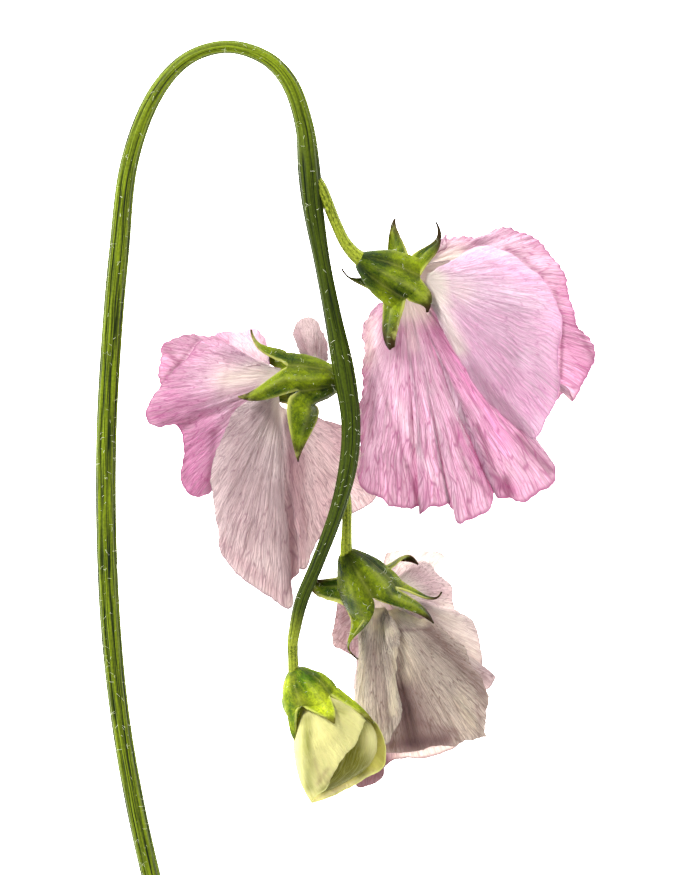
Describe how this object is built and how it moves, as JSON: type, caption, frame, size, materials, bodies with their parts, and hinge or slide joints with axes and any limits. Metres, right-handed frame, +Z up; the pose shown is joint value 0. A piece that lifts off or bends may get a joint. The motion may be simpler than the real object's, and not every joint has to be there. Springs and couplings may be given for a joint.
{
  "type": "sweet pea flower sprig",
  "caption": "Cut sweet pea stalk lying down, hooked over, with open pink flowers and a cream-green bud.",
  "frame": {"origin": "middle of the sprig's footprint, on the surface it lies on", "axes": "+Z up from the surface, +Y along the stalk from its cut end towards the top of its hook"},
  "size_m": [0.0832, 0.1542, 0.0278],
  "materials": {
    "stem": "ridged green stalk, satin",
    "pedicel": "yellow-green, satin",
    "calyx": "green, veined and downy",
    "petal_pink": "pink petal, thin and soft",
    "petal_pale": "near-white petal, thin and soft",
    "bud_petal": "cream-green closed petal"
  },
  "bodies": {
    "root": {"stem": "stem", "upper_pedicel": "pedicel", "middle_pedicel": "pedicel", "lower_pedicel": "pedicel", "bud_pedicel": "pedicel", "upper_calyx": "calyx", "middle_calyx": "calyx", "lower_calyx": "calyx", "bud_calyx": "calyx", "upper_standard": "petal_pink", "upper_left_wing": "petal_pink", "upper_right_wing": "petal_pink", "upper_keel": "petal_pale", "middle_standard": "petal_pale", "middle_left_wing": "petal_pink", "middle_right_wing": "petal_pink", "middle_keel": "petal_pale", "lower_standard": "petal_pink", "lower_left_wing": "petal_pale", "lower_right_wing": "petal_pale", "lower_keel": "petal_pink", "bud_standard": "bud_petal"}
  },
  "joints": []
}
